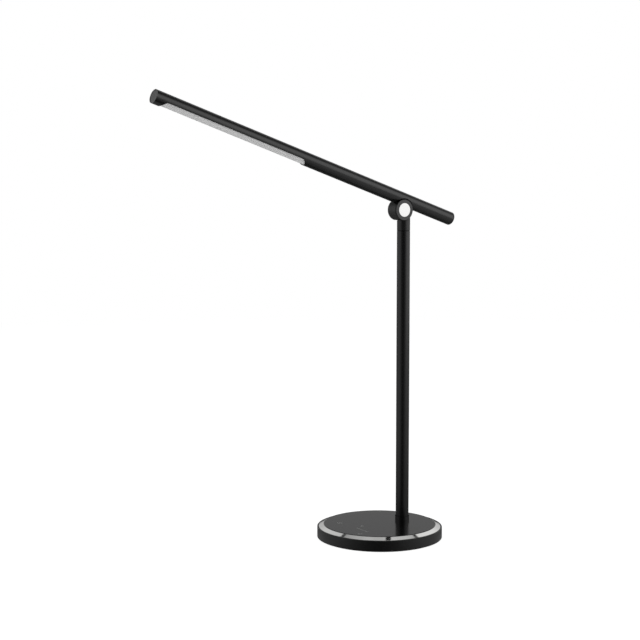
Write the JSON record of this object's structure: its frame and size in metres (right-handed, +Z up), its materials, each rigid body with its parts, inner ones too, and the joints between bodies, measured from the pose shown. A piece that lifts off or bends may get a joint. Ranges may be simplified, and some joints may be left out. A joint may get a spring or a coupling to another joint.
{
  "type": "table lamp",
  "caption": "Black LED table lamp: round weighted base with bright bevel ring, upright pole, and a long tube arm that tilts on a barrel joint and swivels on the pole.",
  "frame": {"origin": "centre of the base's underside, on the table", "axes": "+Z up along the pole, -X towards the lit end of the arm at rest, -Y towards the bright cap on the tilt joint"},
  "size_m": [0.4085, 0.15, 0.5254],
  "materials": {
    "foam": "matte foam",
    "black_sheet": "matte",
    "black_moulding": "fine satin",
    "steel_weight": "plain",
    "polished_aluminium": "polished",
    "black_panel": "satin",
    "circuit_board": "satin",
    "copper": "plain",
    "screw_steel": "zinc plated",
    "black_paint_steel": "satin",
    "black_paint_casting": "satin",
    "bright_cap": "polished",
    "brass": "plain",
    "black_aluminium": "satin black coat",
    "white_board": "white mask",
    "led_yellow": "gloss",
    "opal": "frosted opal",
    "wire_skin": "matte"
  },
  "bodies": {
    "stand": {"base_pad": "foam", "base_cover": "black_sheet", "base_shell": "black_moulding", "ballast_plate": "steel_weight", "bevel_ring": "polished_aluminium", "top_panel": "black_panel", "control_board": "circuit_board", "touch_pad_left": "copper", "touch_pad_mid": "copper", "touch_pad_right": "copper", "cover_screw_front": "screw_steel", "cover_screw_left": "screw_steel", "cover_screw_right": "screw_steel", "dc_jack": "black_moulding", "dc_pin": "copper", "pole_tube": "black_paint_steel", "pole_collar": "black_paint_steel", "pole_foot": "screw_steel", "pole_washer": "screw_steel", "pole_nut": "screw_steel", "swivel_bush": "brass", "swivel_washer": "black_moulding", "pole_wire": "wire_skin"},
    "neck": {"neck": "black_paint_casting", "stop_screw": "screw_steel", "neck_wire": "wire_skin"},
    "arm": {"knuckle_barrel": "black_paint_casting", "bezel_ring": "black_paint_casting", "cap_disc": "bright_cap", "pivot_screw": "screw_steel", "friction_washer_front": "brass", "friction_washer_rear": "brass", "arm_tube": "black_aluminium", "lamp_end_cap": "black_moulding", "tail_end_cap": "black_moulding", "led_board": "white_board", "led_chips": "led_yellow", "diffuser": "opal", "arm_wire": "wire_skin"}
  },
  "joints": [
    {"name": "neck_swivel", "type": "hinge", "parent": "stand", "child": "neck", "pos_m": [0.034, 0, 0.372], "axis": [0, 0, 1], "range_deg": [-90, 90]},
    {"name": "arm_tilt", "type": "hinge", "parent": "neck", "child": "arm", "pos_m": [0.029, 0, 0.3925], "axis": [0, 1, 0], "range_deg": [-38.8, 26.2]}
  ]
}
